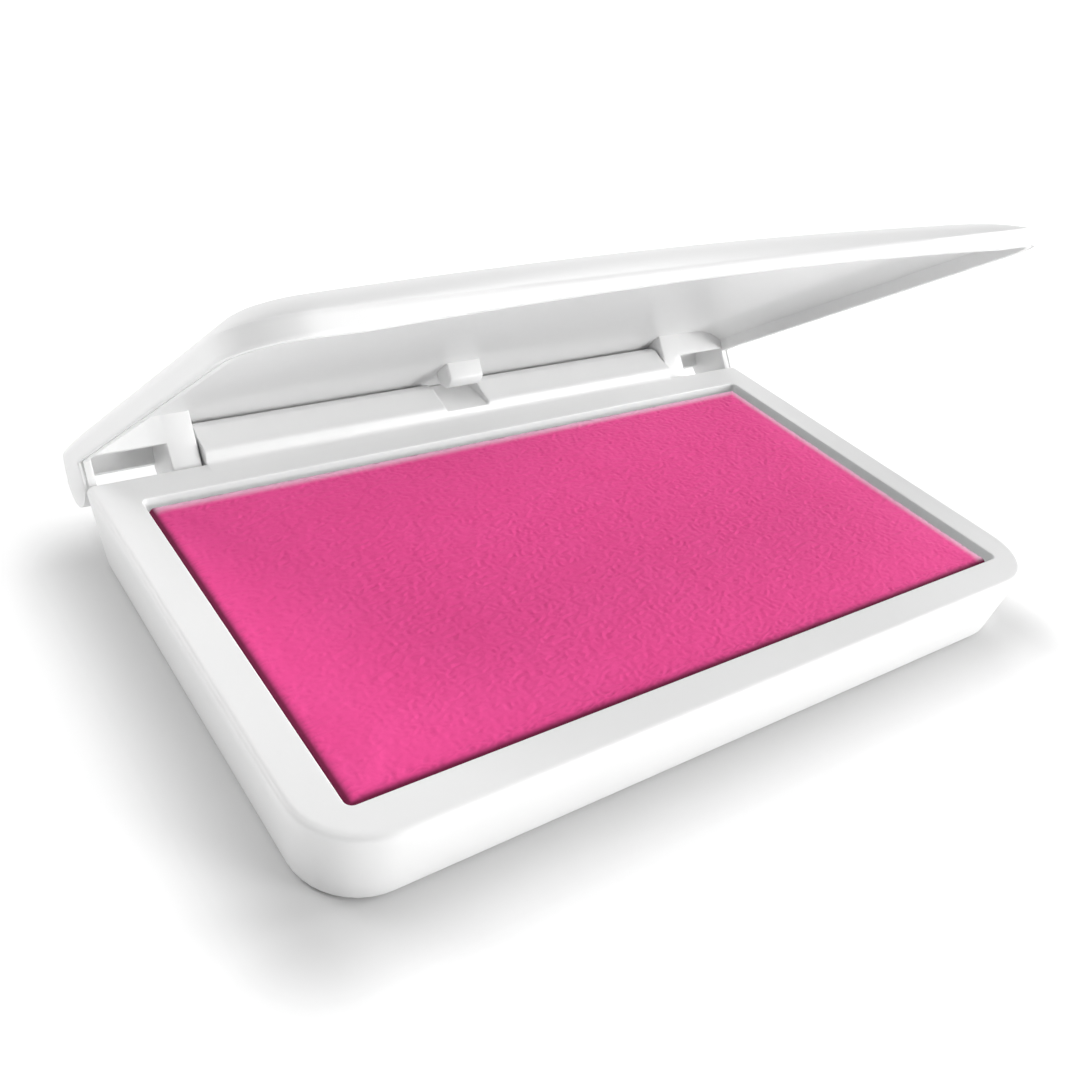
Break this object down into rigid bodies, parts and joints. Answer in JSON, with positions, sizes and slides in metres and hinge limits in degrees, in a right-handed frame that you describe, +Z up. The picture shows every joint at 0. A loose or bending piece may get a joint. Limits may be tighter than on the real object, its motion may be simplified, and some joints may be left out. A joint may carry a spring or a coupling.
{
  "type": "hinged ink pad",
  "caption": "Flat rectangular stamp pad: moulded case with a recessed inked fabric pad and a hinged lid, drawn partly open.",
  "frame": {"origin": "centre of the underside of the base, on the surface that the case rests on", "axes": "+X along the hinge, +Y from the front edge towards the hinge, +Z up out of the pad"},
  "size_m": [0.1, 0.0667, 0.0477],
  "materials": {
    "shell_plastic": "white moulded plastic, satin to gloss",
    "tray_plastic": "natural moulded plastic",
    "ink_felt": "dense felt soaked with pink ink",
    "ink_fabric": "fine embossed woven cover, pink",
    "pin_steel": "drawn steel"
  },
  "bodies": {
    "base": {"base_shell": "shell_plastic", "bottom_plate": "shell_plastic", "pad_tray": "tray_plastic", "ink_core": "ink_felt", "pad_cover": "ink_fabric"},
    "lid": {"lid_shell": "shell_plastic", "hinge_pin_left": "pin_steel", "hinge_pin_right": "pin_steel"}
  },
  "joints": [
    {"name": "lid_hinge", "type": "hinge", "parent": "base", "child": "lid", "pos_m": [0, 0.0335, 0.0091], "axis": [-1, 0, 0], "range_deg": [-38, 87]}
  ]
}
